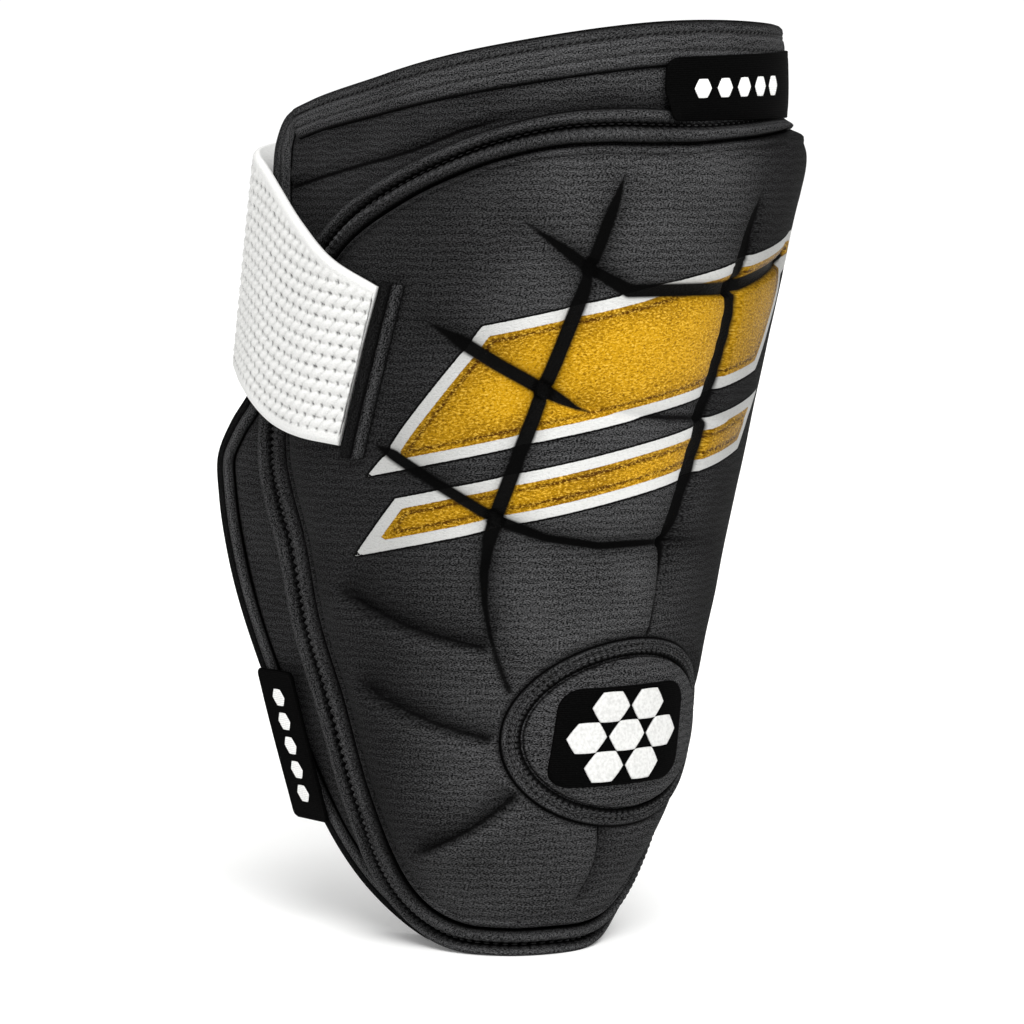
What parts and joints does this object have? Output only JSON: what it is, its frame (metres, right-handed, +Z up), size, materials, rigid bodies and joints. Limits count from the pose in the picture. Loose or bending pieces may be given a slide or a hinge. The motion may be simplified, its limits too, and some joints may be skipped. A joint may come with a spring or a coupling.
{
  "type": "elbow guard",
  "caption": "Padded trough-shaped elbow guard for batting, with a grooved outer shell, an oval elbow cap, a bound liner and an elastic strap that closes it behind the arm.",
  "frame": {"origin": "on the floor, on the flat rim of the toe under the front ridge", "axes": "+Z up along the arm from toe to cuff, -Y outwards from the front of the elbow, +X to the right seen from the front"},
  "size_m": [0.1401, 0.1367, 0.2285],
  "materials": {
    "knit": "fine ribbed charcoal knit over foam",
    "dark_knit": "near-black stretch binding",
    "elastic": "white knitted elastic",
    "patch_cloth": "smooth black woven patch"
  },
  "bodies": {
    "root": {"liner": "knit", "liner_binding": "dark_knit", "cuff_hem": "knit", "shell_border": "dark_knit", "shell": "knit", "elbow_cap": "knit", "cap_ring": "dark_knit", "cap_emblem": "patch_cloth", "strap": "elastic", "strap_tab_left": "dark_knit", "strap_tab_right": "dark_knit", "side_tag": "patch_cloth", "top_label": "patch_cloth"}
  },
  "joints": []
}
